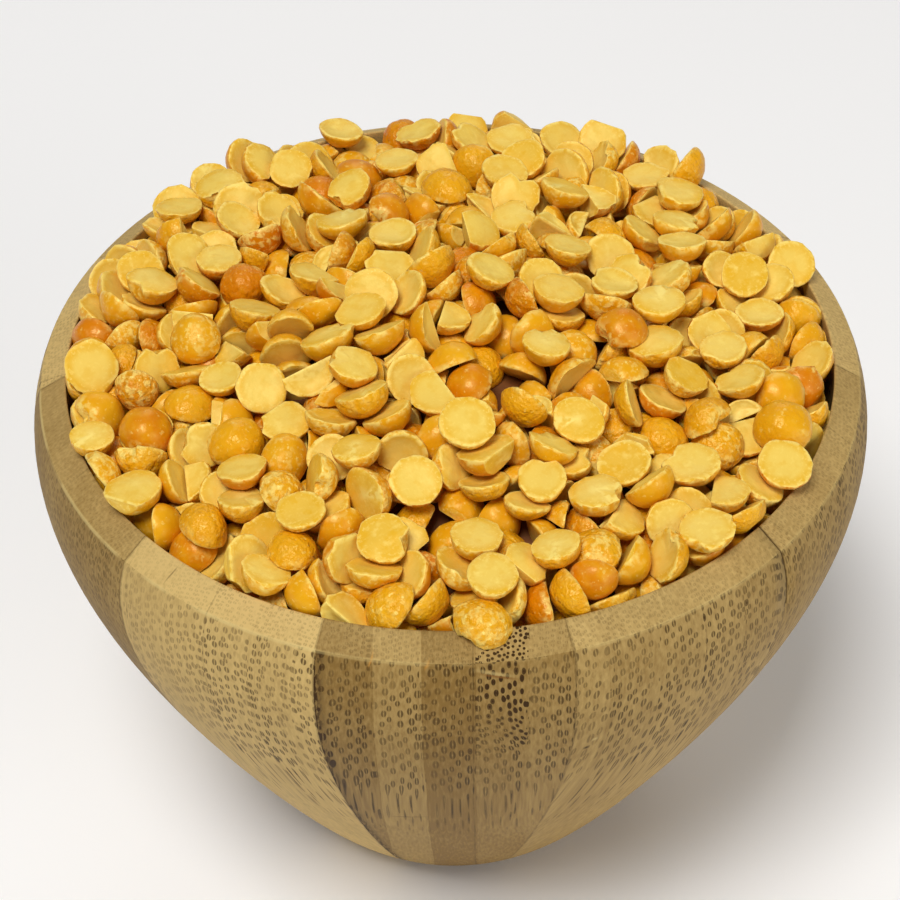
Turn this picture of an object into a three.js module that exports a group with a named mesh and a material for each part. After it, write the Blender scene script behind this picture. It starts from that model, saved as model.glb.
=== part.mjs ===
// A round bamboo bowl heaped with dried yellow split peas.
// Millimetres, +Z up, origin at the centre of the bowl's flat foot.
import * as THREE from 'three';

// The bowl
const rimRadius = 56;          // outer edge of the rim's sloping top face
const rimHeight = 82;          // that edge above the foot
const mouthRadius = 52.2;      // inner edge of the same face
const mouthRise = 2.2;         // how far the inner edge stands above the outer one
const footRadius = 22.4;
const floorThickness = 9.5;
const edgeReach = 0.9;         // how far each edge is eased off, along both its sides

// The outside swells out below the rim, then runs down in an almost straight cone to the foot.
const swellOut = 1.139;        // the rim's radius times this pulls the outside outwards,
const swellDrop = 16.7;        // this far below the rim's edge
const coneIn = 0.789;          // and times this pulls it in again,
const coneDrop = 45.6;         // this far below the edge
const footFlare = 7;           // the cone meets the foot from this far outside it,
const footLift = 1.9;          // and this far above the ground
const outerPulls = [
  new THREE.Vector2(rimRadius * swellOut, rimHeight - swellDrop),
  new THREE.Vector2(rimRadius * coneIn, rimHeight - coneDrop),
  new THREE.Vector2(footRadius + footFlare, footLift),
];

// The inside follows it, and turns into a round floor.
const innerSwell = 3.2;        // pulls the wall out past the mouth,
const innerSwellHeight = 60;   // at this height
const floorReach = 35;         // how far out the floor's roundness starts
const innerPulls = [
  new THREE.Vector2(mouthRadius + innerSwell, innerSwellHeight),
  new THREE.Vector2(floorReach, floorThickness),
];

// The heap of peas
const gap = 0.3;               // between touching pieces
const wallGap = gap * 1.2;     // from the middle of each of the heap's slanted sides to the wall
const lipGap = gap * 1.5;      // from the heap's upper edge to the mouth
const peaWidth = 7;
const shoulderRadius = 50.9;   // where the heap turns over to the wall of the mouth
const shoulderRise = 2.9;      // above the rim's outer edge
const domeRise = 12;           // the middle of the heap above its shoulder
const bumpHeight = 2.1;        // peas standing out of the heap's surface
const lowestBump = 0.4;        // as a share of that height
const bumpCount = 260;
const bumpReach = peaWidth * 0.62;

// The pea that lies on the front of the rim
const rimPeaWidth = 7.4;
const rimPeaThickness = 3.7;
const rimPeaEdge = 0.12;       // its upright edge, as a share of the thickness
const rimPeaFace = 0.93;       // its flat face, as a share of the width
const rimPeaTurn = THREE.MathUtils.degToRad(4.5);
const rimPeaInset = 5.2;       // its middle, up the rim's slope from the outer edge
const rimPeaClearance = 6.6;   // the heap is held down this far round its middle

const bowlSides = 72;
const outsideSteps = 13;
const insideSteps = 11;
const peaSides = 20;
const peaSteps = 6;            // from the pea's edge to the top of its dome
const heapDetail = 14;         // how often each edge of the heap's first ball is split
const topShare = 0.75;         // of the ball's area that becomes the top of the heap

const rimSlope = Math.atan2(mouthRise, rimRadius - mouthRadius);
const mouthHeight = rimHeight + mouthRise;

const rimEdge = new THREE.Vector2(rimRadius, rimHeight);
const mouthEdge = new THREE.Vector2(mouthRadius, mouthHeight);
const footEdge = new THREE.Vector2(footRadius, 0);

// A point of the curve that starts and ends at the first and last of its pulling points
function bezierPoint(pulls, t) {
  if (pulls.length === 1) return pulls[0];
  const shorter = pulls.slice(1).map((pull, i) => pulls[i].clone().lerp(pull, t));
  return bezierPoint(shorter, t);
}

function bezierPoints(pulls, steps) {
  return Array.from({ length: steps + 1 }, (_, i) => bezierPoint(pulls, i / steps));
}

// The few points that ease an edge between its two neighbours in the profile
function easedEdge(before, edge, after) {
  const reachTo = (end) => {
    const side = end.clone().sub(edge);
    return edge.clone().addScaledVector(side, edgeReach / side.length());
  };
  return new THREE.QuadraticBezierCurve(reachTo(before), edge, reachTo(after)).getPoints(2);
}

// Turns a profile about Z; it runs up the outside, from the axis to the axis.
function turned(profile, sides) {
  return new THREE.LatheGeometry(profile, sides).rotateX(Math.PI / 2);
}

function innerWall() {
  const floorCentre = new THREE.Vector2(0, floorThickness);
  return bezierPoints([mouthEdge, ...innerPulls, floorCentre], insideSteps);
}

function bowlGeometry() {
  const outside = bezierPoints([footEdge, ...outerPulls.toReversed(), rimEdge], outsideSteps);
  const inside = innerWall();
  const profile = [
    new THREE.Vector2(0, 0),
    ...easedEdge(new THREE.Vector2(0, 0), footEdge, outside[1]),
    ...outside.slice(1, -1),
    ...easedEdge(outside.at(-2), rimEdge, mouthEdge),
    ...easedEdge(rimEdge, mouthEdge, inside[1]),
    ...inside.slice(1),
  ];
  return turned(profile, bowlSides);
}

// A fixed value from 0 up to 1 that looks random, another for each number
function scatter(number) {
  const value = Math.sin(number * 12.9898) * 43758.5453;
  return value - Math.floor(value);
}

// Pea-sized bumps all over the heap, each standing out by its own amount
const bumps = Array.from({ length: bumpCount }, (_, i) => {
  const reach = shoulderRadius * Math.sqrt((i + 0.5) / bumpCount);
  const turn = 2 * Math.PI * scatter(i + 1);
  const stand = THREE.MathUtils.lerp(lowestBump, 1, scatter(-i - 1));
  return { x: reach * Math.cos(turn), y: reach * Math.sin(turn), stand };
});

function bumpRise(x, y) {
  const rises = bumps.map((bump) => {
    const away = Math.hypot(x - bump.x, y - bump.y) / bumpReach;
    return bump.stand * Math.max(0, 1 - away * away);
  });
  return bumpHeight * Math.max(...rises);
}

function domeHeight(radius) {
  const across = Math.min(radius / shoulderRadius, 1);
  return rimHeight + shoulderRise + domeRise * (1 - across * across);
}

// Where the middle of the rim pea's flat face lies: on the rim's slope, clear of it by the gap
const rimPeaPlace = new THREE.Vector3(
  0,
  -(rimRadius - rimPeaInset * Math.cos(rimSlope) + gap * Math.sin(rimSlope)),
  rimHeight + rimPeaInset * Math.sin(rimSlope) + gap * Math.cos(rimSlope),
).applyAxisAngle(new THREE.Vector3(0, 0, 1), rimPeaTurn);

// The highest that the heap may stand at a point, to stay under the rim pea
function ceilingHeight(x, y) {
  const away = Math.hypot(x - rimPeaPlace.x, y - rimPeaPlace.y);
  if (away > rimPeaClearance) return Infinity;
  const inward = -rimPeaPlace.y - Math.hypot(x, y);
  return rimPeaPlace.z + inward * Math.tan(rimSlope) - 2 * gap;
}

// The heap's side, clear of the bowl's inner wall, from the lip down to the middle of the floor
function heapSide() {
  const wall = innerWall();
  const side = wall.slice(1, -1).map((point, i) => {
    const along = wall[i + 2].clone().sub(wall[i]).normalize();
    return point.clone().add(new THREE.Vector2(along.y, -along.x).multiplyScalar(wallGap));
  });
  const lip = new THREE.Vector2(mouthRadius - lipGap, mouthHeight - edgeReach / 2);
  const bottom = new THREE.Vector2(0, floorThickness + wallGap);
  return new THREE.Path([lip, ...side, bottom]);
}

// A ball of even triangles: its top is spread over the dome, and the rest over the side.
function heapGeometry() {
  const side = heapSide();
  const geometry = new THREE.IcosahedronGeometry(1, heapDetail);
  const points = geometry.attributes.position;
  const point = new THREE.Vector3();
  for (let i = 0; i < points.count; i += 1) {
    point.fromBufferAttribute(points, i).normalize();
    const turn = Math.atan2(point.y, point.x);
    const share = (1 - point.z) / 2;
    if (share < topShare) {
      const radius = shoulderRadius * Math.sqrt(share / topShare);
      const x = radius * Math.cos(turn);
      const y = radius * Math.sin(turn);
      const height = domeHeight(radius) + bumpRise(x, y);
      points.setXYZ(i, x, y, Math.min(height, ceilingHeight(x, y)));
    } else {
      const along = 1 - Math.sqrt((1 - share) / (1 - topShare));
      const place = side.getPointAt(along);
      points.setXYZ(i, place.x * Math.cos(turn), place.x * Math.sin(turn), place.y);
    }
  }
  geometry.computeVertexNormals();
  return geometry;
}

function rimPeaGeometry() {
  const radius = rimPeaWidth / 2;
  const edge = rimPeaThickness * rimPeaEdge;
  const dome = Array.from({ length: peaSteps }, (_, i) => {
    const climb = (i / peaSteps) * Math.PI / 2;
    return new THREE.Vector2(radius * Math.cos(climb), edge + (rimPeaThickness - edge) * Math.sin(climb));
  });
  const top = new THREE.Vector2(0, rimPeaThickness);
  const face = new THREE.Vector2(radius * rimPeaFace, 0);
  return turned([new THREE.Vector2(0, 0), face, ...dome, top], peaSides);
}

function finish(color, roughness) {
  return new THREE.MeshStandardMaterial({ color, roughness, metalness: 0 });
}

const dish = new THREE.Group();

const bowl = new THREE.Mesh(bowlGeometry(), finish(0xa98d5f, 0.5));
bowl.name = 'bowl';
dish.add(bowl);

const peaHeap = new THREE.Mesh(heapGeometry(), finish(0xdfa53c, 0.45));
peaHeap.name = 'pea_heap';
dish.add(peaHeap);

const rimPea = new THREE.Mesh(rimPeaGeometry(), finish(0xe09a2c, 0.42));
rimPea.name = 'rim_pea';
rimPea.position.copy(rimPeaPlace);
rimPea.rotation.set(rimSlope, 0, rimPeaTurn, 'ZYX');
dish.add(rimPea);

export default dish;
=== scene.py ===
import math
import random
from types import SimpleNamespace
import bmesh
import bpy
from mathutils import Matrix, Quaternion, Vector, noise


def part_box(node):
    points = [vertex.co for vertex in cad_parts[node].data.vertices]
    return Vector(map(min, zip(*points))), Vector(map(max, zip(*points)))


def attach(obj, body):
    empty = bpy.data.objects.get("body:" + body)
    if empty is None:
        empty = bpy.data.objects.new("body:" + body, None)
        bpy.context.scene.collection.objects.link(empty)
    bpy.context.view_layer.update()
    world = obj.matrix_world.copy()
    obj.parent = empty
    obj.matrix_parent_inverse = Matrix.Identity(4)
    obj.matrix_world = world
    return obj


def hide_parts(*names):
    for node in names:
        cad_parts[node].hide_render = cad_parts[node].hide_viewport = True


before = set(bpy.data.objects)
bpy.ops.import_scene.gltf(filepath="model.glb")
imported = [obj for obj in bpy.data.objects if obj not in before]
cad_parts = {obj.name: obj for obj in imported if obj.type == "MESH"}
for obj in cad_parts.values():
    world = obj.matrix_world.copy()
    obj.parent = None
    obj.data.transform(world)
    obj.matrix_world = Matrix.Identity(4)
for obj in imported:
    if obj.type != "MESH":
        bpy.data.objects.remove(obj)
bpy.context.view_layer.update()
scene = bpy.context.scene
mm = 0.001
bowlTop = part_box("bowl")[1]
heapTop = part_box("pea_heap")[1].z


# small tools

def finishedPiece(name, bm, materials, stoodFor):
    # turns a bmesh into a piece of the object, at the origin
    mesh = bpy.data.meshes.new(name)
    bm.to_mesh(mesh)
    bm.free()
    for material in materials:
        mesh.materials.append(material)
    piece = bpy.data.objects.new(name, mesh)
    scene.collection.objects.link(piece)
    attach(piece, "root")
    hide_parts(stoodFor)


def bezierPoint(pulls, t):
    if len(pulls) == 1:
        return pulls[0]
    return bezierPoint([a.lerp(b, t) for a, b in zip(pulls, pulls[1:])], t)


def bezierPoints(pulls, steps):
    return [bezierPoint(pulls, i / steps) for i in range(steps + 1)]


def edgesWhere(bm, isOn):
    return [edge for edge in bm.edges if all(isOn(vert) for vert in edge.verts)]


def spunProfile(points, steps):
    # points are (radius, height) from the axis to the axis
    bm = bmesh.new()
    verts = [bm.verts.new((radius, 0, height)) for radius, height in points]
    edges = [bm.edges.new(pair) for pair in zip(verts, verts[1:])]
    bmesh.ops.spin(bm, geom=verts + edges, cent=(0, 0, 0), axis=(0, 0, 1),
                   angle=math.tau, steps=steps, use_merge=True)
    bmesh.ops.remove_doubles(bm, verts=bm.verts, dist=1e-6)
    bmesh.ops.recalc_face_normals(bm, faces=bm.faces)
    return bm


class Value:
    # a socket that can be added, multiplied and so on
    def __init__(self, finish, socket):
        self.finish = finish
        self.socket = socket

    def also(self, name):
        return Value(self.finish, self.socket.node.outputs[name])

    def maths(self, operation, *others):
        inputs = dict(enumerate((self,) + others))
        return self.finish.node("Math", {"operation": operation}, inputs)

    def __add__(self, other):
        return self.maths("ADD", other)

    def __radd__(self, other):
        return self.maths("ADD", other)

    def __sub__(self, other):
        return self.maths("SUBTRACT", other)

    def __rsub__(self, other):
        return self.finish.node("Math", {"operation": "SUBTRACT"}, {0: other, 1: self})

    def __mul__(self, other):
        return self.maths("MULTIPLY", other)

    def __rmul__(self, other):
        return self.maths("MULTIPLY", other)

    def __truediv__(self, other):
        return self.maths("DIVIDE", other)

    def __gt__(self, other):
        return self.maths("GREATER_THAN", other)

    def __lt__(self, other):
        return self.maths("LESS_THAN", other)

    def __abs__(self):
        return self.maths("ABSOLUTE")

    def root(self):
        return self.maths("SQRT")


class Finish:
    # one material and the nodes that make it
    def __init__(self, name, constants):
        self.material = bpy.data.materials.new(name)
        self.material.use_nodes = True
        self.tree = self.material.node_tree
        self.shader = self.tree.nodes["Principled BSDF"]
        for socket, value in constants.items():
            self.shader.inputs[socket].default_value = value

    def node(self, kind, settings=None, inputs=None, output=0):
        made = self.tree.nodes.new("ShaderNode" + kind)
        for key, setting in (settings or {}).items():
            if key == "stops":
                self.setStops(made.color_ramp, setting)
            elif key == "interpolation":
                made.color_ramp.interpolation = setting
            else:
                setattr(made, key, setting)
        for key, value in (inputs or {}).items():
            self.feed(made.inputs[key], value)
        return Value(self, made.outputs[output])

    def setStops(self, ramp, stops):
        while len(ramp.elements) < len(stops):
            ramp.elements.new(1)
        for element, (position, value) in zip(ramp.elements, stops):
            element.position = position
            element.color = (value, value, value, 1)

    def feed(self, socket, value):
        if isinstance(value, Value):
            self.tree.links.new(value.socket, socket)
        else:
            socket.default_value = value

    def attribute(self, name, output="Fac"):
        return self.node("Attribute", {"attribute_name": name}, output=output)

    def parts(self, vector):
        split = self.node("SeparateXYZ", inputs={0: vector})
        return split, split.also("Y"), split.also("Z")

    def ramp(self, value, stops, interpolation="LINEAR"):
        return self.node("ValToRGB", {"interpolation": interpolation, "stops": stops}, {0: value})

    def smooth(self, value, low, high):
        # 0 under low, 1 over high, or the other way round
        return self.node("MapRange", {"interpolation_type": "SMOOTHSTEP"},
                         {"Value": value, "From Min": low, "From Max": high})

    def mix(self, factor, first, second):
        # the sockets 6, 7 and 2 are the ones for colours
        return self.node("Mix", {"data_type": "RGBA"}, {0: factor, 6: first, 7: second}, output=2)

    def vector(self, x, y, z=0.0):
        return self.node("CombineXYZ", inputs={0: x, 1: y, 2: z})

    def vectorMaths(self, operation, first, second):
        return self.node("VectorMath", {"operation": operation}, {0: first, 1: second})

    def noise(self, vector, scale=1.0, detail=2.0):
        return self.node("TexNoise", inputs={"Vector": vector, "Scale": scale, "Detail": detail})

    def bump(self, height, strength, distance):
        return self.node("Bump", inputs={"Height": height, "Strength": strength,
                                         "Distance": distance})

    def wear(self, looks):
        # what varies over the surface
        for socket, value in looks.items():
            self.feed(self.shader.inputs[socket], value)
        return self.material


def tint(red, green, blue):
    # a colour given as it looks on screen, 0 to 255
    def linear(part):
        part /= 255
        return part / 12.92 if part <= 0.04045 else ((part + 0.055) / 1.055) ** 2.4
    return (linear(red), linear(green), linear(blue), 1)


# camera, floor and light

view = {
    "distance": 336 * mm,
    "elevation": math.radians(42.98),
    "roll": math.radians(-0.88),
    "aim": Vector((-0.16, 0, 65.1)) * mm,
    "lens": 94.6,
    "nearest": 0.01,
}


def setCamera():
    back = Vector((0, -math.cos(view["elevation"]), math.sin(view["elevation"])))
    camera = bpy.data.objects.new("camera", bpy.data.cameras.new("camera"))
    scene.collection.objects.link(camera)
    camera.data.lens = view["lens"]
    camera.data.clip_start = view["nearest"]
    camera.location = view["aim"] + back * view["distance"]
    camera.rotation_mode = "QUATERNION"
    upright = (-back).to_track_quat("-Z", "Y")
    camera.rotation_quaternion = upright @ Quaternion((0, 0, 1), view["roll"])
    scene.camera = camera


studio = {
    "floor": tint(249, 248, 247),
    "floorSpots": tint(252, 251, 250),
    "floorReach": 4,
    "mottle": 6,               # how fine the floor's faint spots are
    "world": 0.17,
    "worldTint": (1, 0.98, 0.96, 1),
    "key": {"place": (-0.3, -0.6, 1.6), "size": 0.6, "power": 21.6},
    "fill": {"place": (1.92, -1.68, 0.75), "size": 1.9, "power": 23.0},
    "back": {"place": (0.1, 1.6, 1.2), "size": 1.2, "power": 6.0},
}


def makeFloor():
    bm = bmesh.new()
    bmesh.ops.create_grid(bm, x_segments=1, y_segments=1, size=studio["floorReach"])
    mesh = bpy.data.meshes.new("floor")
    bm.to_mesh(mesh)
    bm.free()
    finish = Finish("paleFloor", {"Roughness": 0.9})
    mottle = finish.noise(finish.node("TexCoord", output="Object"), studio["mottle"])
    pale = finish.mix(mottle, studio["floor"], studio["floorSpots"])
    mesh.materials.append(finish.wear({"Base Color": pale}))
    floor = bpy.data.objects.new("floor", mesh)
    scene.collection.objects.link(floor)


def setLight():
    world = bpy.data.worlds.new("studio")
    world.use_nodes = True
    background = world.node_tree.nodes["Background"]
    background.inputs["Color"].default_value = studio["worldTint"]
    background.inputs["Strength"].default_value = studio["world"]
    scene.world = world
    for name in ("key", "fill", "back"):
        lamp = bpy.data.lights.new(name, "AREA")
        lamp.size = studio[name]["size"]
        lamp.energy = studio[name]["power"]
        light = bpy.data.objects.new(name, lamp)
        scene.collection.objects.link(light)
        light.location = studio[name]["place"]
        towards = view["aim"] - light.location
        light.rotation_mode = "QUATERNION"
        light.rotation_quaternion = towards.to_track_quat("-Z", "Y")


scene.view_settings.view_transform = "Standard"
setCamera()
makeFloor()
setLight()
print("camera, floor and light are set")


# the bowl

bowlShape = {
    "rim": Vector((56, 82)) * mm,
    "mouth": Vector((52.2, 84.2)) * mm,
    "foot": Vector((22.4, 0)) * mm,
    # what pulls the wall's two curves outwards and in again, from the rim to the foot and the floor
    "outerPulls": [Vector((63.78, 65.3)) * mm, Vector((44.18, 36.4)) * mm,
                   Vector((29.4, 1.9)) * mm],
    "innerPulls": [Vector((55.4, 60)) * mm, Vector((35, 9.5)) * mm],
    "floor": 9.5 * mm,
    "sides": 144,
    "outsideSteps": 44,
    "insideSteps": 22,
    # points close to the edges, as shares of their step or face, keep the edges' roundness short
    "lastOutside": 0.84,
    "acrossRim": (0.075, 0.5, 0.85),
    "firstInside": 0.4,
    "edgeRounds": {"rim": 0.22 * mm, "mouth": 0.5 * mm, "foot": 0.6 * mm},
    "samePlace": 0.02 * mm,
}
crack = {
    "joint": 47.5,             # degrees from the front, to the right
    "lowest": 73 * mm,
    "halfWidth": 0.13 * mm,
    "depth": 0.5 * mm,
    "onJoint": 0.05,           # degrees off the joint that still count as on it, before it is cut
    "inMiddle": 0.02,          # and after
    "shade": (0.17, 0.06),     # mm from the middle, over which its dark shade comes up
}

# the glued staves, by the turn of each joint in degrees from the front, to the right
staveJoints = [-85, -47.5, -17.5, 15, 47.5, 85, 117.5, 147.5, 180, 212.5, 245, 275]
staveLooks = [
    # tone, shift of the strips in mm, how strong the marks are (below 0 they crowd to the other side)
    (0.20, 1.5, 0.6),
    (0.86, 2.9, -1.0),
    (0.20, 0.0, 1.0),
    (0.36, 5.3, -0.95),
    (0.28, -1.0, 0.85),
    (0.60, 3.3, -0.8),
    (0.80, -2.1, 0.9),
    (0.34, 4.2, 0.95),
    (0.65, 0.8, -0.85),
    (0.45, 2.2, 0.9),
    (0.75, -3.0, -0.85),
]
frontStave = 2


def bowlMesh():
    outer = [bowlShape["foot"], *reversed(bowlShape["outerPulls"]), bowlShape["rim"]]
    inner = [bowlShape["mouth"], *bowlShape["innerPulls"], Vector((0, bowlShape["floor"]))]
    outside = bezierPoints(outer, bowlShape["outsideSteps"])
    inside = bezierPoints(inner, bowlShape["insideSteps"])
    fit = min(1, bowlTop.x / max(point.x for point in outside))
    outside.insert(-1, outside[-2].lerp(outside[-1], bowlShape["lastOutside"]))
    topFace = [bowlShape["rim"].lerp(bowlShape["mouth"], part) for part in bowlShape["acrossRim"]]
    inside.insert(1, inside[0].lerp(inside[1], bowlShape["firstInside"]))
    profile = [Vector((0, 0)), bowlShape["foot"] * 0.5, *outside, *topFace, *inside]
    bm = spunProfile([(point.x * fit, point.y) for point in profile], bowlShape["sides"])
    return bm, fit


def turnOf(point):
    # degrees from the front, to the right
    return math.degrees(math.atan2(point.x, -point.y))


def roundEdges(bm, fit):
    # the rim's outer edge, the mouth and the foot
    for name, edgeRound in bowlShape["edgeRounds"].items():
        corner = Vector((bowlShape[name].x * fit, bowlShape[name].y))

        def isOn(vert):
            place = Vector((math.hypot(vert.co.x, vert.co.y), vert.co.z))
            return (place - corner).length < bowlShape["samePlace"]
        bmesh.ops.bevel(bm, geom=edgesWhere(bm, isOn), offset=edgeRound, segments=3,
                        profile=0.5, affect="EDGES", material=-1)


def openCrack(bm):
    # a narrow crack along one glued joint, over the rim and down the wall
    def offJoint(vert):
        return abs(turnOf(vert.co) - crack["joint"])

    def isOn(vert):
        outside = math.hypot(vert.co.x, vert.co.y) > bowlShape["mouth"].x
        return outside and vert.co.z > crack["lowest"] and offJoint(vert) < crack["onJoint"]
    cut = bmesh.ops.bevel(bm, geom=edgesWhere(bm, isOn), offset=crack["halfWidth"], segments=2,
                          profile=0.5, affect="EDGES", material=-1)
    bm.normal_update()
    for vert in cut["verts"]:
        if offJoint(vert) < crack["inMiddle"]:
            vert.co -= vert.normal * crack["depth"]


def markStaves(bm):
    # each face learns which stave it is cut from
    cut = bm.faces.layers.float_vector.new("staveCut")
    look = bm.faces.layers.float_vector.new("staveLook")
    for face in bm.faces:
        turn = turnOf(face.calc_center_median())
        if turn < staveJoints[0]:
            turn += 360
        stave = max(i for i, joint in enumerate(staveJoints[:-1]) if turn >= joint)
        left, right = math.radians(staveJoints[stave]), math.radians(staveJoints[stave + 1])
        face[cut] = ((left + right) / 2, (right - left) / 2, float(stave == frontStave))
        face[look] = staveLooks[stave]
        face.smooth = True


bamboo = {
    "marksApart": (1.45, 0.85),         # mm across the strips and through them
    "ringReach": (0.21, 0.27),          # of those distances
    "crowding": 0.9,                    # how many more marks stand at the crowded side of a strip
    "stagger": 0.5,
    "lean": 24,                         # degrees that the rows of marks lean
    "rimFaceFiner": 1.5,
    "leftTurn": -0.4,                   # radians from the front: staves beyond it have finer rows,
    "leftFiner": 0.3,                   # by this much more,
    "leftFade": (5, -9),                # and marks that fade over this stretch, in mm across
    "waver": 0.8,                       # how far strips and rows wander, in mm
    # how much each thing tells in the wood's tone, from dark to light
    "tones": {"stave": 0.9, "strip": 0.5, "grain": 0.75, "cloud": 0.35, "rimFace": 0.2,
              "lower": 0.21},
    # where strips meet, in mm across the front stave
    "strips": [-28.7, -22, -15.7, -8.9, -2.9, 3.7, 10.2, 16.9, 23.6],
    "stripSpan": 80,
    "frontTones": [0.5, 0.5, 0.5, 0.26, 0.68, 0.14, 0.38, 0.48, 0.5, 0.5],
    "otherTones": [0.3, 0.7, 0.45, 0.6, 0.35, 0.65, 0.5, 0.4, 0.7, 0.5],
    # height up the wall and how far through the fibres it is: flat where the wall runs along them
    "fibreRows": [(0, 0), (23, 7.1), (36, 10.8), (44, 11.8), (51, 12.2), (55, 12.8), (59, 13.7),
                  (64, 15.1), (70, 17.2), (76, 20.1), (82, 23.7), (84.2, 28.1)],
    "rowsTop": 30,
    "droop": 0.8,                       # rows hang down towards the joints
    "sootyStrip": (3.7, 10.2),          # mm across the front stave
    "sootRises": (64, 76),              # heights, in mm, over which it turns sooty
    "streaksRise": (56, 48),            # over which the rings turn into streaks
    "marksRise": (28, 46),              # and over which the marks come up from the foot
    "light": tint(208, 177, 112),
    "dark": tint(129, 99, 49),
    "mark": tint(54, 32, 8),
    "ringMiddle": tint(190, 160, 94),
    "wearAndHighlight": tint(212, 188, 124),
    # a pale tan for worn spots, also used for the painted highlight on the rim's outer edge
    "resin": tint(206, 144, 60),
    "strand": tint(122, 78, 34),
    "gloss": tint(255, 232, 190),
}
stainedSpots = [
    # the stave, both ends (mm across it and up the wall), half the width, the colour and its strength
    (2, (-9.3, 81.0), (-8.5, 82.6), 0.45, "resin", 0.6),
    (2, (-2.5, 81.4), (-1.7, 82.2), 0.5, "resin", 0.5),
    (2, (3.2, 81.3), (8.6, 80.0), 0.4, "wearAndHighlight", 0.4),
    (2, (3.8, 80.8), (9.2, 79.5), 0.25, "strand", 0.8),
    (2, (-8.2, 41.2), (-2.7, 42.9), 0.3, "mark", 0.55),
    # a knot, and a hairline crack over the rim
    (3, (-14.1, 63.1), (-13.1, 63.3), 0.6, "mark", 0.95),
    (3, (-13.3, 64.9), (-12.3, 65.1), 0.6, "wearAndHighlight", 0.6),
    (1, (-7.8, 82.4), (-7.0, 83.8), 0.3, "mark", 0.6),
]


def stripStops(tones):
    edges = [-bamboo["stripSpan"] / 2] + bamboo["strips"]
    return [(edge / bamboo["stripSpan"] + 0.5, tone) for edge, tone in zip(edges, tones)]


def crowdStops():
    # marks stand thin at one side of a strip and crowd at the other
    stops = [(0, 0.3)]
    for edge in bamboo["strips"]:
        place = edge / bamboo["stripSpan"] + 0.5
        stops += [(place - 0.003, 1), (place + 0.003, 0)]
    return stops + [(1, 0.8)]


def rowStops():
    rimTop = bowlShape["mouth"].y / mm
    return [(height / rimTop, row / bamboo["rowsTop"]) for height, row in bamboo["fibreRows"]]


def onLine(finish, across, z, start, end, half):
    # 1 along a short line on the wall, 0 away from it
    slope = (end[1] - start[1]) / (end[0] - start[0])
    off = abs(z - start[1] - (across - start[0]) * slope)
    within = finish.smooth(abs(across - (start[0] + end[0]) / 2), (end[0] - start[0]) / 2, 0)
    return finish.smooth(off, half, 0) * within.root()


def placeInBamboo(finish):
    # where each point lies in its stave and in the bamboo that it is cut from, in mm
    at = SimpleNamespace(place=finish.node("TexCoord", output="Object"))
    at.x, at.y, at.z = [part / mm for part in finish.parts(at.place)]
    at.turn, half, at.isFront = finish.parts(finish.attribute("staveCut", "Vector"))
    at.baseTone, at.shift, at.sidedMarks = finish.parts(finish.attribute("staveLook", "Vector"))
    at.across = at.x * at.turn.maths("COSINE") + at.y * at.turn.maths("SINE")
    outward = at.x * at.turn.maths("SINE") - at.y * at.turn.maths("COSINE")
    at.radius = (at.x * at.x + at.y * at.y).root()
    row = finish.ramp(at.z / (bowlShape["mouth"].y / mm), rowStops()) * bamboo["rowsTop"]
    row = row + (at.radius - outward) * bamboo["droop"]
    slow = finish.vector(at.across * 0.11, at.z * 0.055, at.turn * 5)
    at.straight = at.across + (finish.noise(slow) - 0.5) * bamboo["waver"]
    elsewhere = finish.vectorMaths("ADD", slow, (9, 4, 2))
    at.row = row + (finish.noise(elsewhere) - 0.5) * bamboo["waver"]
    at.fromJoint = outward * half.maths("SINE") - abs(at.across) * half.maths("COSINE")
    at.onTop = at.z > bowlShape["rim"].y / mm
    at.onLeft = at.turn < bamboo["leftTurn"]
    at.stained = (at.across < 0) * at.isFront * (1 - at.onTop)
    return at


def woodColour(finish, at):
    # the laminated strips and their grain
    at.side = at.sidedMarks.maths("SIGN")
    stripPlace = (at.straight * at.side + at.shift) / bamboo["stripSpan"] + 0.5
    front = finish.ramp(stripPlace, stripStops(bamboo["frontTones"]), "CONSTANT")
    other = finish.ramp(stripPlace, stripStops(bamboo["otherTones"]), "CONSTANT")
    at.crowd = finish.ramp(stripPlace, crowdStops())
    strip = front * at.isFront + (other * 0.5 + 0.25) * (1 - at.isFront)
    at.grain = finish.noise(finish.vector(at.straight * 2.6, at.row * 1.5, at.turn), 1.0, 3)
    at.cloud = finish.noise(finish.vector(at.straight * 0.12, at.row * 0.2, at.turn * 3))
    tones = bamboo["tones"]
    tone = at.baseTone * tones["stave"] + strip * tones["strip"] - tones["lower"]
    tone = tone + (at.grain - 0.5) * tones["grain"] + (at.cloud - 0.5) * tones["cloud"]
    tone = tone + at.onTop * tones["rimFace"]
    return finish.mix(tone, bamboo["dark"], bamboo["light"])


def markGrid(finish, at):
    # the marks stand one to a cell of a grid that leans and is staggered
    finer = 1 + at.onTop * (bamboo["rimFaceFiner"] - 1)
    apartAcross, apartThrough = bamboo["marksApart"]
    rowsFiner = finer + at.soot * 0.12 + at.onLeft * bamboo["leftFiner"]
    rows = (at.row + at.turn * 7) * rowsFiner / apartThrough
    columns = at.straight * (finer + at.soot * 0.35) / apartAcross
    columns = columns + at.side * at.crowd * at.crowd * bamboo["crowding"]
    lean = math.radians(bamboo["lean"])
    sideways = columns * math.cos(lean) + rows * math.sin(lean)
    upwards = rows * math.cos(lean) - columns * math.sin(lean)
    return finish.vector(sideways + upwards * bamboo["stagger"], upwards)


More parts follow.
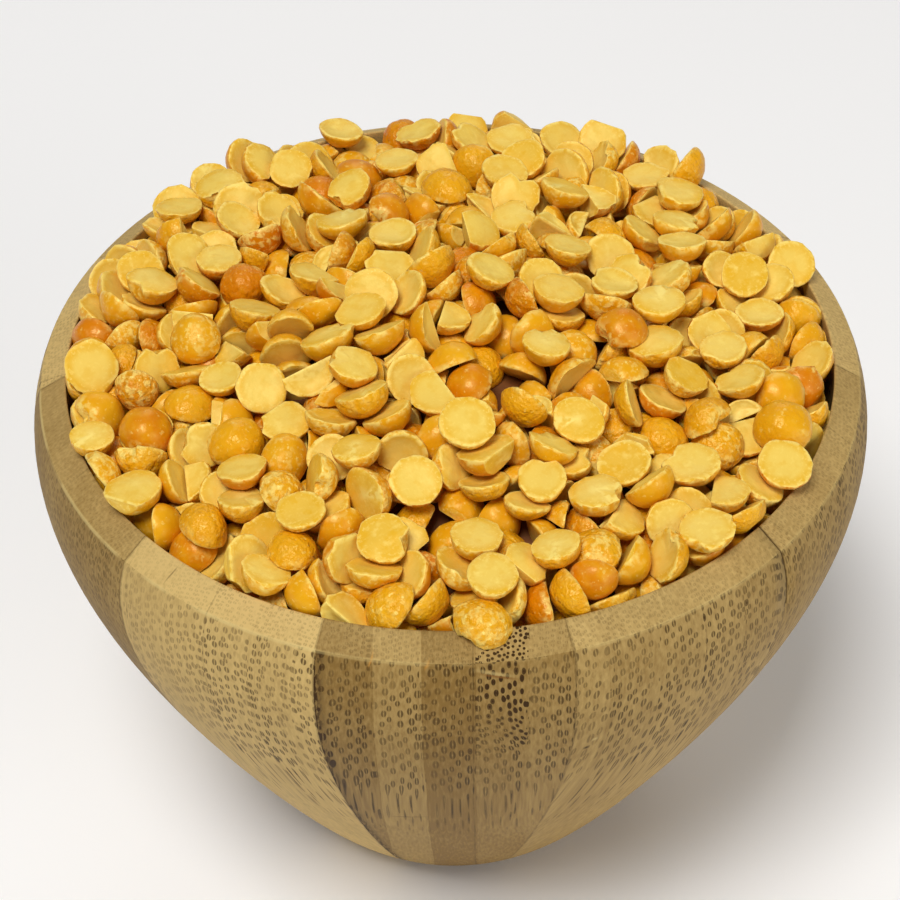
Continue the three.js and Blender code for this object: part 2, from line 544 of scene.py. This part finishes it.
def nearestMark(finish, at):
    # how far off the nearest mark is, across and in all, in its own size, and three chances for it
    grid = markGrid(finish, at)
    cell = finish.node("TexVoronoi", {"voronoi_dimensions": "2D"},
                       {"Vector": grid, "Scale": 1.0, "Randomness": 0.5})
    offset = finish.vectorMaths("SUBTRACT", grid, cell.also("Position"))
    pick = finish.parts(cell.also("Color"))
    reachAcross, reachThrough = bamboo["ringReach"]
    size = 0.8 + pick[0] * 0.4
    lean = math.radians(bamboo["lean"])
    offSideways, offUpwards, _ = finish.parts(offset)
    offSideways = offSideways - offUpwards * bamboo["stagger"]
    offAcross = abs(offSideways * math.cos(lean) - offUpwards * math.sin(lean))
    offAcross = offAcross / reachAcross / size * (1 + at.streaked * 1.2)
    offThrough = offSideways * math.sin(lean) + offUpwards * math.cos(lean)
    offThrough = offThrough / reachThrough / size
    return offAcross, (offAcross * offAcross + offThrough * offThrough).root(), pick


def clearness(finish, at):
    # the marks are fainter at the foot, in clouds, and on the left away from the front
    clear = 0.15 + 0.85 * finish.smooth(at.z, *bamboo["marksRise"])
    clear = clear * (0.6 + 0.4 * finish.smooth(at.cloud, 0.35, 0.58))
    return clear * (1 - at.onLeft * finish.smooth(at.across, *bamboo["leftFade"]) * 0.6)


def markFibres(finish, at, wood):
    # fibre bundles: rings where they are cut across, streaks where they run along the wall
    low, high = bamboo["sootyStrip"]
    inSoot = (at.across > low) * (at.across < high) * at.isFront
    at.soot = inSoot * finish.smooth(at.z, *bamboo["sootRises"])
    at.streaked = finish.smooth(at.z, *bamboo["streaksRise"])
    offAcross, away, pick = nearestMark(finish, at)
    shown = finish.smooth(0.85 + at.crowd * 0.4 + at.soot * 0.3 - pick[1] * 0.9, 0.0, 0.25)
    sootJoint = finish.smooth(at.fromJoint, 2.6, 0.8) * at.stained
    bold = 0.64 + at.crowd * 0.25 + (at.soot + sootJoint) * 0.4 - at.streaked * 0.14
    dense = (at.soot + at.streaked + sootJoint) * 0.9
    filled = finish.smooth(at.crowd + pick[2] * 0.4 + dense, 1.15, 1.45)
    sides = finish.smooth(offAcross + filled * 0.4, 0.1, 0.5)
    ring = finish.smooth(abs(away - 0.74), 0.85, 0.4) * (0.25 + 0.75 * sides)
    middle = finish.smooth(away, 0.6, 0.2)
    clear = clearness(finish, at) * (1 - at.onTop * (1 - at.soot) * 0.6)
    marks = abs(at.sidedMarks) * shown * clear
    colour = finish.mix(middle * marks * 0.3 * (1 - filled), wood, bamboo["ringMiddle"])
    return finish.mix((ring + middle * filled) * marks * bold, colour, bamboo["mark"])


def drawJoints(finish, at, colour):
    # glue lines, broken here and there, the stained joint at the front and the open crack
    places = finish.vector(at.straight * 0.5, at.z * 0.35, at.turn)
    patchy = finish.smooth(finish.noise(places), 0.42, 0.58)
    glue = finish.smooth(at.crowd, 0.95, 1.0) * (0.3 + 0.3 * at.isFront)
    glue = glue + finish.smooth(at.fromJoint, 0.3, 0.1) * 0.4
    band = finish.smooth(at.fromJoint, 1.8, 0.2) * at.stained
    band = band * (0.1 + 0.8 * finish.smooth(at.grain, 0.4, 0.58))
    colour = finish.mix(glue * (0.35 + 0.65 * patchy) + band, colour, bamboo["mark"])
    turned = at.x.maths("ARCTAN2", -1 * at.y) - math.radians(crack["joint"])
    inCrack = finish.smooth(abs(turned) * at.radius, *crack["shade"])
    inCrack = inCrack * (at.z > crack["lowest"] / mm - 1)
    return finish.mix(inCrack * 0.9, colour, bamboo["mark"])


def drawStains(finish, at, colour):
    for stave, start, end, halfWidth, stain, strength in stainedSpots:
        staveTurn = math.radians((staveJoints[stave] + staveJoints[stave + 1]) / 2)
        onStave = abs(at.turn - staveTurn) < 0.05
        here = onLine(finish, at.across, at.z, start, end, halfWidth) * onStave
        colour = finish.mix(here * strength, colour, bamboo[stain])
    return colour


def rimWearAndHighlight(finish, at, colour):
    # the rim's outer edge is rubbed pale all round, with a painted highlight added along the lit left
    # side
    fromRim = at.radius - bowlShape["rim"].x / mm + 0.08
    belowRim = at.z - bowlShape["rim"].y / mm
    fromEdge = (fromRim * fromRim + belowRim * belowRim).root()
    rub = finish.smooth(fromEdge, 0.4, 0.1)
    rub = rub * finish.smooth(finish.noise(at.place, 150), 0.34, 0.6)
    # painted highlight: the left staves' edge gets a paler line on top of the wear
    return finish.mix(rub * (0.25 + 0.35 * at.onLeft), colour, bamboo["wearAndHighlight"])


def bambooMaterial():
    finish = Finish("bamboo", {"Specular IOR Level": 0.24, "Specular Tint": bamboo["gloss"]})
    at = placeInBamboo(finish)
    colour = markFibres(finish, at, woodColour(finish, at))
    colour = drawStains(finish, at, drawJoints(finish, at, colour))
    return finish.wear({
        "Base Color": rimWearAndHighlight(finish, at, colour),
        "Roughness": 0.58 + at.grain * 0.16,
        "Normal": finish.bump(at.grain, 0.25, 0.08 * mm),
    })


def makeBowl():
    bm, fit = bowlMesh()
    roundEdges(bm, fit)
    openCrack(bm)
    markStaves(bm)
    finishedPiece("bamboo_bowl", bm, [bambooMaterial()], "bowl")


makeBowl()
print("the bowl is turned")


# the peas, one shape at a time

peaShape = {
    "radius": 3.5 * mm,
    "fine": (24, 14),
    "rough": (10, 6),          # what the falling peas collide with
    "seed": 7,
    # the rest is in pea radii, from the least to the most
    "length": (0.94, 1.05),
    "width": (0.9, 1.0),
    "thickness": (0.8, 1.0),
    "faceLean": (-0.06, 0.06),
    "faceHeight": (-0.1, 0.02),
    "dish": (-0.06, 0.14),
    "breakLean": (-0.25, 0.25),
    "chipLean": (-0.9, 0.5),
    "chipReach": (0.58, 0.8),
    "chipsApart": (1.5, 3.5),  # radians round the edge
    "dentReach": (0.42, 0.62),
    "edgeRound": 0.09,
    "shortest": 0.06,
    "lumps": 0.07,
    "ripples": 0.025,
}
peaKinds = {
    # how many shapes, their share of the heap, chips off the edge, how far from the middle
    # a broken one ends, how deep the dent is and how deep the nicks along the edge are
    "whole_halves": {"shapes": 13, "share": 0.38, "chips": 0, "breaks": None,
                     "dent": (-0.2, 0.1), "nicks": 0.05},
    "dented_halves": {"shapes": 8, "share": 0.26, "chips": 0, "breaks": None,
                      "dent": (0.14, 0.42), "nicks": 0.16},
    "chipped_halves": {"shapes": 8, "share": 0.22, "chips": 1, "breaks": None,
                       "dent": (-0.2, 0.2), "nicks": 0.12},
    "broken_halves": {"shapes": 5, "share": 0.1, "chips": 0, "breaks": (0.05, 0.5),
                      "dent": (-0.1, 0.2), "nicks": 0.16},
    "small_pieces": {"shapes": 3, "share": 0.04, "chips": 1, "breaks": (-0.15, 0.1),
                     "dent": (-0.1, 0.1), "nicks": 0.16},
}
cutSide = 1    # the material of flat and broken faces


def mergeNear(bm, distance):
    # the points are put in a fixed order first, so that each run merges the same ones
    bm.verts.sort(key=lambda vert: vert.co.dot(Vector((1, 31, 997))))
    bmesh.ops.remove_doubles(bm, verts=bm.verts, dist=distance)


def breakAway(bm, normal, distance):
    # takes off what lies beyond a plane and closes the break
    everything = bm.verts[:] + bm.edges[:] + bm.faces[:]
    bmesh.ops.bisect_plane(bm, geom=everything, dist=1e-4, plane_co=normal * distance,
                           plane_no=normal, clear_outer=True)
    mergeNear(bm, peaShape["shortest"])
    edges = [edge for edge in bm.edges if edge.is_boundary]
    if edges:
        for face in bmesh.ops.holes_fill(bm, edges=edges, sides=0)["faces"]:
            face.material_index = cutSide


def halfPea(seed, kind, segments):
    draw = random.Random(seed)

    def drawn(name):
        return draw.uniform(*peaShape[name])

    def towards(turn, lean):
        return Vector((math.cos(turn), math.sin(turn), lean)).normalized()
    bm = bmesh.new()
    bmesh.ops.create_uvsphere(bm, u_segments=segments[0], v_segments=segments[1], radius=1)
    thickness = drawn("thickness")
    bmesh.ops.scale(bm, vec=(drawn("length"), drawn("width"), thickness), verts=bm.verts)
    lean = Vector((drawn("faceLean"), drawn("faceLean"), -1)).normalized()
    breakAway(bm, lean, drawn("faceHeight"))
    turn = draw.uniform(0, math.tau)
    if kind["breaks"]:
        breakAway(bm, towards(turn, drawn("breakLean")), draw.uniform(*kind["breaks"]))
    for _ in range(kind["chips"]):
        turn += drawn("chipsApart")
        breakAway(bm, towards(turn, drawn("chipLean")), drawn("chipReach"))
    dish = drawn("dish")
    turn = draw.uniform(0, math.tau)
    dent = {
        "place": Vector((math.cos(turn), math.sin(turn), 0.1)) * 0.95,
        "depth": max(0, draw.uniform(*kind["dent"])),
        "reach": drawn("dentReach"),
    }
    place = Vector((draw.uniform(-9, 9), draw.uniform(-9, 9), draw.uniform(-9, 9)))
    if segments == peaShape["fine"]:
        roundBreaks(bm)
        for face in [face for face in bm.faces if len(face.verts) > 6]:
            crownFlat(bm, face, dish)
    roughen(bm, place, dent, kind["nicks"])
    return bm


def roundBreaks(bm):
    edges = [edge for edge in bm.edges if edge.calc_face_angle(0) > math.radians(32)]
    bmesh.ops.bevel(bm, geom=edges, offset=peaShape["edgeRound"], segments=2, profile=0.5,
                    affect="EDGES", material=-1, clamp_overlap=True)
    mergeNear(bm, peaShape["shortest"] / 4)


def crownFlat(bm, face, dish):
    # rings on a flat face, so that it can be dished or crowned
    face.normal_update()
    normal = face.normal.copy()
    for shrink, sink in ((0.84, 0.25), (0.55, 0.8)):
        face = bmesh.ops.extrude_discrete_faces(bm, faces=[face])["faces"][0]
        middle = face.calc_center_median()
        bmesh.ops.scale(bm, vec=(shrink,) * 3, space=Matrix.Translation(-middle), verts=face.verts)
        bmesh.ops.translate(bm, vec=-normal * dish * sink, verts=face.verts)
    for vert in bmesh.ops.poke(bm, faces=[face])["verts"]:
        vert.co -= normal * dish * 0.2


def roughen(bm, place, dent, nicks):
    # uneven all over, nicked along the edge of the cut face, and dented where the sprout was
    for vert in bm.verts:
        nearCut = max(0, 1 - abs(vert.co.z) / 0.3)
        outward = Vector((vert.co.x, vert.co.y, 0))
        nick = noise.noise(vert.co * 3.1 - place) * nicks * nearCut
        near = max(0, 1 - ((vert.co - dent["place"]).length / dent["reach"]) ** 2)
        press = dent["depth"] * near * near
        lump = noise.noise_vector(vert.co * 1.2 + place) * peaShape["lumps"]
        ripple = noise.noise_vector(vert.co * 3.4 - place) * peaShape["ripples"]
        vert.co += lump + ripple + outward * (nick * outward.length_squared - press)


def notePlaces(bm):
    # every point keeps its place in its own pea and how sharp its edge is, for the colours: pale
    # edges that are partly real wear and partly painted highlight
    place = bm.verts.layers.float_vector.new("peaPlace")
    wear = bm.verts.layers.float.new("edgeWear")
    bm.verts.layers.float.new("peaChance")
    for vert in bm.verts:
        vert[place] = vert.co
        sharpest = max(edge.calc_face_angle(0) for edge in vert.link_edges)
        vert[wear] = min(1, max(0, (sharpest - 0.32) / 0.3))
    for edge in bm.edges:
        edge.smooth = edge.calc_face_angle(0) < math.radians(50)
    for face in bm.faces:
        face.smooth = True


def peaMeshes(name, seed, kind):
    # the pea that shows, and a rougher one of the same shape to fall in its place
    meshes = []
    for segments in (peaShape["fine"], peaShape["rough"]):
        bm = halfPea(seed, kind, segments)
        bmesh.ops.recalc_face_normals(bm, faces=bm.faces)
        notePlaces(bm)
        if not meshes:
            spread = [[vert.co[axis] for vert in bm.verts] for axis in range(3)]
            middle = Vector([(min(along) + max(along)) / 2 for along in spread])
        bmesh.ops.translate(bm, vec=-middle, verts=bm.verts)
        if segments == peaShape["rough"]:
            # no stray last digits, so that the peas fall the same way each time
            for vert in bm.verts:
                vert.co = [round(part, 3) for part in vert.co]
        bmesh.ops.scale(bm, vec=(peaShape["radius"],) * 3, verts=bm.verts)
        mesh = bpy.data.meshes.new(name)
        bm.to_mesh(mesh)
        bm.free()
        meshes.append(mesh)
    return meshes


def makePeaShapes():
    shapes = {}
    noise.seed_set(peaShape["seed"])
    for number, (name, kind) in enumerate(peaKinds.items()):
        shapes[name] = [peaMeshes(name, number * 100 + i, kind) for i in range(kind["shapes"])]
    return shapes


# the heap: peas are dropped on a bed and come to rest

heapShape = {
    # the heap's dome, without the peas that stand out of it
    "edge": 50.9 * mm,
    "edgeHeight": 84.9 * mm,
    "rise": 12 * mm,
    "bedDepth": 7.3 * mm,
    "coreDepth": 10.7 * mm,
    "coreSteps": 26,
    "coreSides": 96,
    "coreSide": [(51.5 * mm, 66 * mm), (46 * mm, 40 * mm), (28 * mm, 18 * mm), (0, 11 * mm)],
    "coreBumps": 1.8 * mm,
    "coreBumpsReach": 50 * mm,
    "bedPeas": 230,
    "bedReach": 50 * mm,
    "bedFurthest": 48.2 * mm,
    "bedUneven": 0.7,          # mm up and down
    "looseLayers": 3,
    "loosePeas": 170,          # in each layer
    "looseReach": 48 * mm,
    "looseUneven": 0.5,
    "firstDrop": 7 * mm,
    "layerStep": 6.8 * mm,
    "layerTurn": 1.3,          # radians from each layer to the next
    "furthest": 51.6 * mm,     # no pea's middle rests further out,
    "deepest": 15 * mm,        # or further below the dome,
    "headroom": 0.05 * mm,     # and each pea's top stays this far under the CAD heap's top
    "sizes": (0.88, 1.13),     # the smallest and the largest, to the shape's own size
    "sizeSpread": 0.055,
    "seed": 4,
}
fall = {
    "scale": 100,              # they fall as if this much larger, which keeps them steady
    "frames": 80,
    "substeps": 10,
    "solverSteps": 10,
    "friction": 1.0,
    "margin": 0.008,
    "wallMargin": 0.02,
    "turnedOver": 0.78,        # the share of those with their cut face up that are turned over
    "driftDamping": 0.15,
    "spinDamping": 0.4,
    "restsBelow": (0.25, 0.6), # a pea slower than this, in speed and in spin, lies still
}


def surfaceHeight(radius):
    across = min(1, radius / heapShape["edge"])
    return heapShape["edgeHeight"] + heapShape["rise"] * (1 - across * across)


def coreMesh():
    steps = heapShape["coreSteps"]
    radii = [heapShape["edge"] * i / steps for i in range(steps + 1)]
    dome = [(radius, surfaceHeight(radius) - heapShape["coreDepth"]) for radius in radii]
    bm = spunProfile(dome + heapShape["coreSide"], heapShape["coreSides"])
    for vert in bm.verts:
        radius = math.hypot(vert.co.x, vert.co.y)
        onDome = vert.co.z > surfaceHeight(radius) - heapShape["coreDepth"] - 0.1 * mm
        if onDome and radius < heapShape["coreBumpsReach"]:
            near = noise.voronoi(vert.co * 150)[0][0]
            vert.co.z += heapShape["coreBumps"] * max(0, 1 - near * near * 1.4)
    for face in bm.faces:
        face.smooth = True
    return bm


def anyTurn(draw):
    # any way round, but more of them with the cut face down
    turn = Quaternion([draw.gauss(0, 1) for _ in range(4)]).normalized()
    cutFace = turn @ Vector((0, 0, -1))
    if draw.random() < fall["turnedOver"] and cutFace.z > 0:
        turn = turn @ Quaternion((1, 0, 0), math.pi)
    return turn


def fallingPea(draw, shapes, radius, turn, height):
    names = list(peaKinds)
    kind = draw.choices(names, [peaKinds[name]["share"] for name in names])[0]
    fine, rough = draw.choice(shapes[kind])
    smallest, largest = heapShape["sizes"]
    size = min(largest, max(smallest, draw.gauss(1, heapShape["sizeSpread"])))
    pea = bpy.data.objects.new("pea", rough)
    scene.collection.objects.link(pea)
    pea.location = Vector((radius * math.cos(turn), radius * math.sin(turn), height)) * fall["scale"]
    pea.scale = (fall["scale"] * size,) * 3
    pea.rotation_mode = "QUATERNION"
    pea.rotation_quaternion = anyTurn(draw)
    return {"body": pea, "fine": fine, "kind": kind, "chance": draw.random()}


def spiral(count, reach):
    golden = math.pi * (3 - math.sqrt(5))
    return [(reach * math.sqrt((i + 0.5) / count), i * golden) for i in range(count)]


def makeRigid(bodies, kind, shape, margin):
    for body in bpy.context.selected_objects:
        body.select_set(False)
    for body in bodies:
        body.select_set(True)
    bpy.context.view_layer.objects.active = bodies[0]
    bpy.ops.rigidbody.objects_add(type=kind)
    for body in bodies:
        rigid = body.rigid_body
        rigid.collision_shape = shape
        rigid.friction = fall["friction"]
        rigid.restitution = 0
        rigid.use_margin = True
        rigid.collision_margin = margin
        rigid.mesh_source = "BASE"
        rigid.linear_damping = fall["driftDamping"]
        rigid.angular_damping = fall["spinDamping"]
        rigid.deactivate_linear_velocity = fall["restsBelow"][0]
        rigid.deactivate_angular_velocity = fall["restsBelow"][1]


def scenery(name, bm):
    # what the peas fall on, with its faces always in the same order
    mesh = bpy.data.meshes.new(name)
    bm.verts.index_update()
    faces = []
    for face in bm.faces:
        corners = [vert.index for vert in face.verts]
        first = corners.index(min(corners))
        faces.append(corners[first:] + corners[:first])
    mesh.from_pydata([vert.co for vert in bm.verts], [], sorted(faces))
    bm.free()
    body = bpy.data.objects.new(name, mesh)
    body.scale = (fall["scale"],) * 3
    scene.collection.objects.link(body)
    return body


rimPea = {
    "kind": "dented_halves",
    "shape": 6,
    "size": 1.04,
    "shift": Vector((-0.6, -0.35, -0.2)) * mm,
    "slope": math.atan2(2.2, 3.8),       # of the rim's top face: its rise and its width
    "turn": math.radians(4.5),
    "spin": math.radians(162),           # its dent faces left and forwards
    "chance": 0.385,                     # a wrinkled, floury one
    "clearance": 4.6 * mm,
}


def rimPeaPlace():
    low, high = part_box("rim_pea")
    slope = Quaternion((1, 0, 0), rimPea["slope"])
    turn, spin = [Quaternion((0, 0, 1), rimPea[name]) for name in ("turn", "spin")]
    place = Matrix.Translation((low + high) / 2 + rimPea["shift"])
    return place @ (turn @ slope @ spin).to_matrix().to_4x4() @ Matrix.Scale(rimPea["size"], 4)


def letFall(loose, still, walls):
    bpy.ops.rigidbody.world_add()
    world = scene.rigidbody_world
    world.substeps_per_frame = fall["substeps"]
    world.solver_iterations = fall["solverSteps"]
    world.point_cache.frame_end = fall["frames"]
    makeRigid(loose, "ACTIVE", "CONVEX_HULL", fall["margin"])
    makeRigid(still, "PASSIVE", "CONVEX_HULL", fall["margin"])
    makeRigid(walls, "PASSIVE", "MESH", fall["wallMargin"])
    for step in range(1, fall["frames"] + 1):
        scene.frame_set(step)


def layBed(draw, shapes):
    bed = []
    uneven = heapShape["bedUneven"]
    for radius, turn in spiral(heapShape["bedPeas"], heapShape["bedReach"]):
        height = surfaceHeight(radius) - heapShape["bedDepth"] + draw.uniform(-uneven, uneven) * mm
        radius = min(radius, heapShape["bedFurthest"])
        bed.append(fallingPea(draw, shapes, radius, turn, height))
    return bed


def hangLoose(draw, shapes):
    # layers of peas over the bed, each turned from the one below
    loose = []
    uneven = heapShape["looseUneven"]
    for layer in range(heapShape["looseLayers"]):
        for radius, turn in spiral(heapShape["loosePeas"], heapShape["looseReach"]):
            height = surfaceHeight(radius) - heapShape["bedDepth"] + heapShape["firstDrop"]
            height += layer * heapShape["layerStep"] + draw.uniform(-uneven, uneven) * mm
            turn += layer * heapShape["layerTurn"]
            loose.append(fallingPea(draw, shapes, radius, turn, height))
    return loose


def noteRest(peas):
    # keeps where each pea lies, back at its own size
    rested = bpy.context.evaluated_depsgraph_get()
    shrink = Matrix.Scale(1 / fall["scale"], 4)
    for pea in peas:
        pea["matrix"] = shrink @ pea["body"].evaluated_get(rested).matrix_world


def pourPeas(shapes):
    draw = random.Random(heapShape["seed"])
    bed = layBed(draw, shapes)
    loose = hangLoose(draw, shapes)
    walls = [scenery("bowlWall", bowlMesh()[0]), scenery("coreWall", coreMesh())]
    onRim = bpy.data.objects.new("onRim", shapes[rimPea["kind"]][rimPea["shape"]][1])
    scene.collection.objects.link(onRim)
    onRim.matrix_world = Matrix.Scale(fall["scale"], 4) @ rimPeaPlace()
    bpy.context.view_layer.update()
    letFall([pea["body"] for pea in loose], [pea["body"] for pea in bed] + [onRim], walls)
    noteRest(bed + loose)
    if scene.rigidbody_world:
        bpy.ops.rigidbody.world_remove()
    scene.frame_set(1)
    for body in [pea["body"] for pea in bed + loose] + walls + [onRim]:
        bpy.data.objects.remove(body)
    return [pea for pea in bed + loose if staysInHeap(pea)]


def staysInHeap(pea):
    centre = pea["matrix"].translation
    radius = math.hypot(centre.x, centre.y)
    tallest = max((pea["matrix"] @ vert.co).z for vert in pea["fine"].vertices)
    if tallest > heapTop - heapShape["headroom"] or radius > heapShape["furthest"]:
        return False
    if (centre - rimPeaPlace().translation).length < rimPea["clearance"]:
        return False
    return centre.z > surfaceHeight(radius) - heapShape["deepest"]


def addPea(bm, fine, matrix, chance):
    # adds one pea where it lies; its chance settles how floury, wrinkled and deep in colour it is
    copy = fine.copy()
    copy.transform(matrix)
    copy.attributes["peaChance"].data.foreach_set("value", [chance] * len(copy.vertices))
    bm.from_mesh(copy)
    bpy.data.meshes.remove(copy)


def gatherPeas(peas, kind):
    # joins the peas of one kind
    bm = bmesh.new()
    for pea in peas:
        if pea["kind"] == kind:
            addPea(bm, pea["fine"], pea["matrix"], pea["chance"])
    return bm


# what the peas look like

peaLooks = {
    "face": tint(239, 203, 93),
    "faceEdge": tint(231, 175, 26),
    "skin": tint(228, 152, 4),
    "skinDeep": tint(215, 125, 0),
    "skinPale": tint(238, 178, 24),
    "flour": tint(252, 226, 124),
    "gloss": tint(255, 236, 176),
    # painted shade: the two dark browns of the core under the peas, seen in the gaps between them
    "core": tint(88, 44, 8),
    "corePale": tint(134, 80, 20),
}


def domeMaterial():
    finish = Finish("peaDome", {"Specular Tint": peaLooks["gloss"]})
    chance = finish.attribute("peaChance")
    moved = finish.vector(chance * 37, chance * 11, chance * 5)
    within = finish.attribute("peaPlace", "Vector")
    _, _, height = finish.parts(within)
    place = finish.vectorMaths("ADD", within, moved)
    cloud = finish.noise(place, 1.4)
    deep = finish.smooth(chance + (cloud - 0.5) * 0.6, 0.6, 1.0)
    colour = finish.mix(cloud, peaLooks["skin"], peaLooks["skinPale"])
    colour = finish.mix(deep, colour, peaLooks["skinDeep"])
    dusty = finish.smooth((chance * 7.3).maths("FRACT"), 0.5, 0.95)
    flour = finish.smooth(finish.noise(place, 4.4, 4) + dusty * 0.1, 0.53, 0.72)
    flour = flour * (0.12 + dusty * 0.88)
    nearEdge = finish.smooth(height, 0.35, 0.05)
    nearEdge = nearEdge * finish.smooth(finish.noise(place, 3), 0.5, 0.66)
    # pale edges on the dome: partly real wear, partly a painted highlight along the rim
    wearAndHighlight = finish.attribute("edgeWear") * finish.smooth(finish.noise(place, 4), 0.38, 0.6)
    specks = finish.smooth(finish.noise(place, 5.5), 0.62, 0.7) * (0.35 + dusty * 0.4)
    colour = finish.mix(flour * 0.65 + specks, colour, peaLooks["flour"])
    colour = finish.mix(nearEdge * 0.45, colour, peaLooks["flour"])
    colour = finish.mix(wearAndHighlight * 0.75, colour, peaLooks["flour"])
    wrinkled = finish.smooth((chance * 9.7).maths("FRACT"), 0.3, 0.8)
    relief = finish.noise(place, 4.2, 3) * (0.4 + wrinkled * 2.4) + flour * 0.3
    return finish.wear({
        "Base Color": colour,
        "Roughness": 0.27 + flour * 0.2 + cloud * 0.1,
        "Normal": finish.bump(relief, 0.7, 0.25 * mm),
    })


def faceMaterial():
    finish = Finish("peaFace", {"Specular IOR Level": 0.35, "Specular Tint": peaLooks["gloss"]})
    chance = finish.attribute("peaChance")
    within = finish.attribute("peaPlace", "Vector")
    place = finish.vectorMaths("ADD", within, finish.vector(chance * 23, chance * 19, chance * 7))
    x, y, _ = finish.parts(within)
    cloud = finish.noise(place, 1.6)
    edge = finish.smooth((x * x + y * y).root() + (cloud - 0.5) * 0.3, 0.5, 0.95)
    golden = finish.smooth((chance * 3.7).maths("FRACT"), 0.7, 1.0) * 0.6
    blotch = finish.smooth(finish.noise(place, 2.0, 3), 0.46, 0.66) * 0.3
    faceTone = edge * 0.85 + (golden + blotch) * (1 - edge)
    colour = finish.mix(faceTone, peaLooks["face"], peaLooks["faceEdge"])
    rubbed = finish.smooth((chance * 5.1).maths("FRACT"), 0.2, 0.7)
    rub = finish.smooth(finish.noise(place, 2.6, 3), 0.52, 0.72) * rubbed
    crumbs = finish.smooth(finish.noise(place, 9), 0.55, 0.68) * (0.15 + edge * 0.35)
    colour = finish.mix(rub * 0.4 + crumbs, colour, peaLooks["flour"])
    # pale edges on the cut face: partly real wear, partly a painted highlight along the rim
    wearAndHighlight = finish.attribute("edgeWear") * finish.smooth(finish.noise(place, 4), 0.34, 0.56)
    colour = finish.mix(wearAndHighlight * 0.85, colour, peaLooks["flour"])
    relief = finish.noise(place, 3, 4)
    return finish.wear({
        "Base Color": colour,
        "Roughness": 0.38 + rub * 0.2,
        "Normal": finish.bump(relief, 0.4, 0.2 * mm),
    })


def coreMaterial():
    # the core is coloured dark brown as painted shade for the deep gaps between the peas
    finish = Finish("coreShade", {"Roughness": 0.7})
    cloud = finish.noise(finish.node("TexCoord", output="Object"), 260)
    colour = finish.mix(cloud, peaLooks["core"], peaLooks["corePale"])
    return finish.wear({"Base Color": colour})


def makeHeap():
    shapes = makePeaShapes()
    peas = pourPeas(shapes)
    print("the peas have come to rest:", len(peas))
    materials = [domeMaterial(), faceMaterial()]
    for kind in peaKinds:
        gathered = gatherPeas(peas, kind)
        finishedPiece("peas_" + kind, gathered, materials, "pea_heap")
    finishedPiece("heap_core", coreMesh(), [coreMaterial()], "pea_heap")
    return shapes, materials


def makeRimPea(shapes, materials):
    # one more pea lies on the front of the rim, on its cut face
    bm = bmesh.new()
    addPea(bm, shapes[rimPea["kind"]][rimPea["shape"]][0], rimPeaPlace(), rimPea["chance"])
    finishedPiece("pea_on_rim", bm, materials, "rim_pea")


peaShapes, peaMaterials = makeHeap()
makeRimPea(peaShapes, peaMaterials)
print("the heap is made")
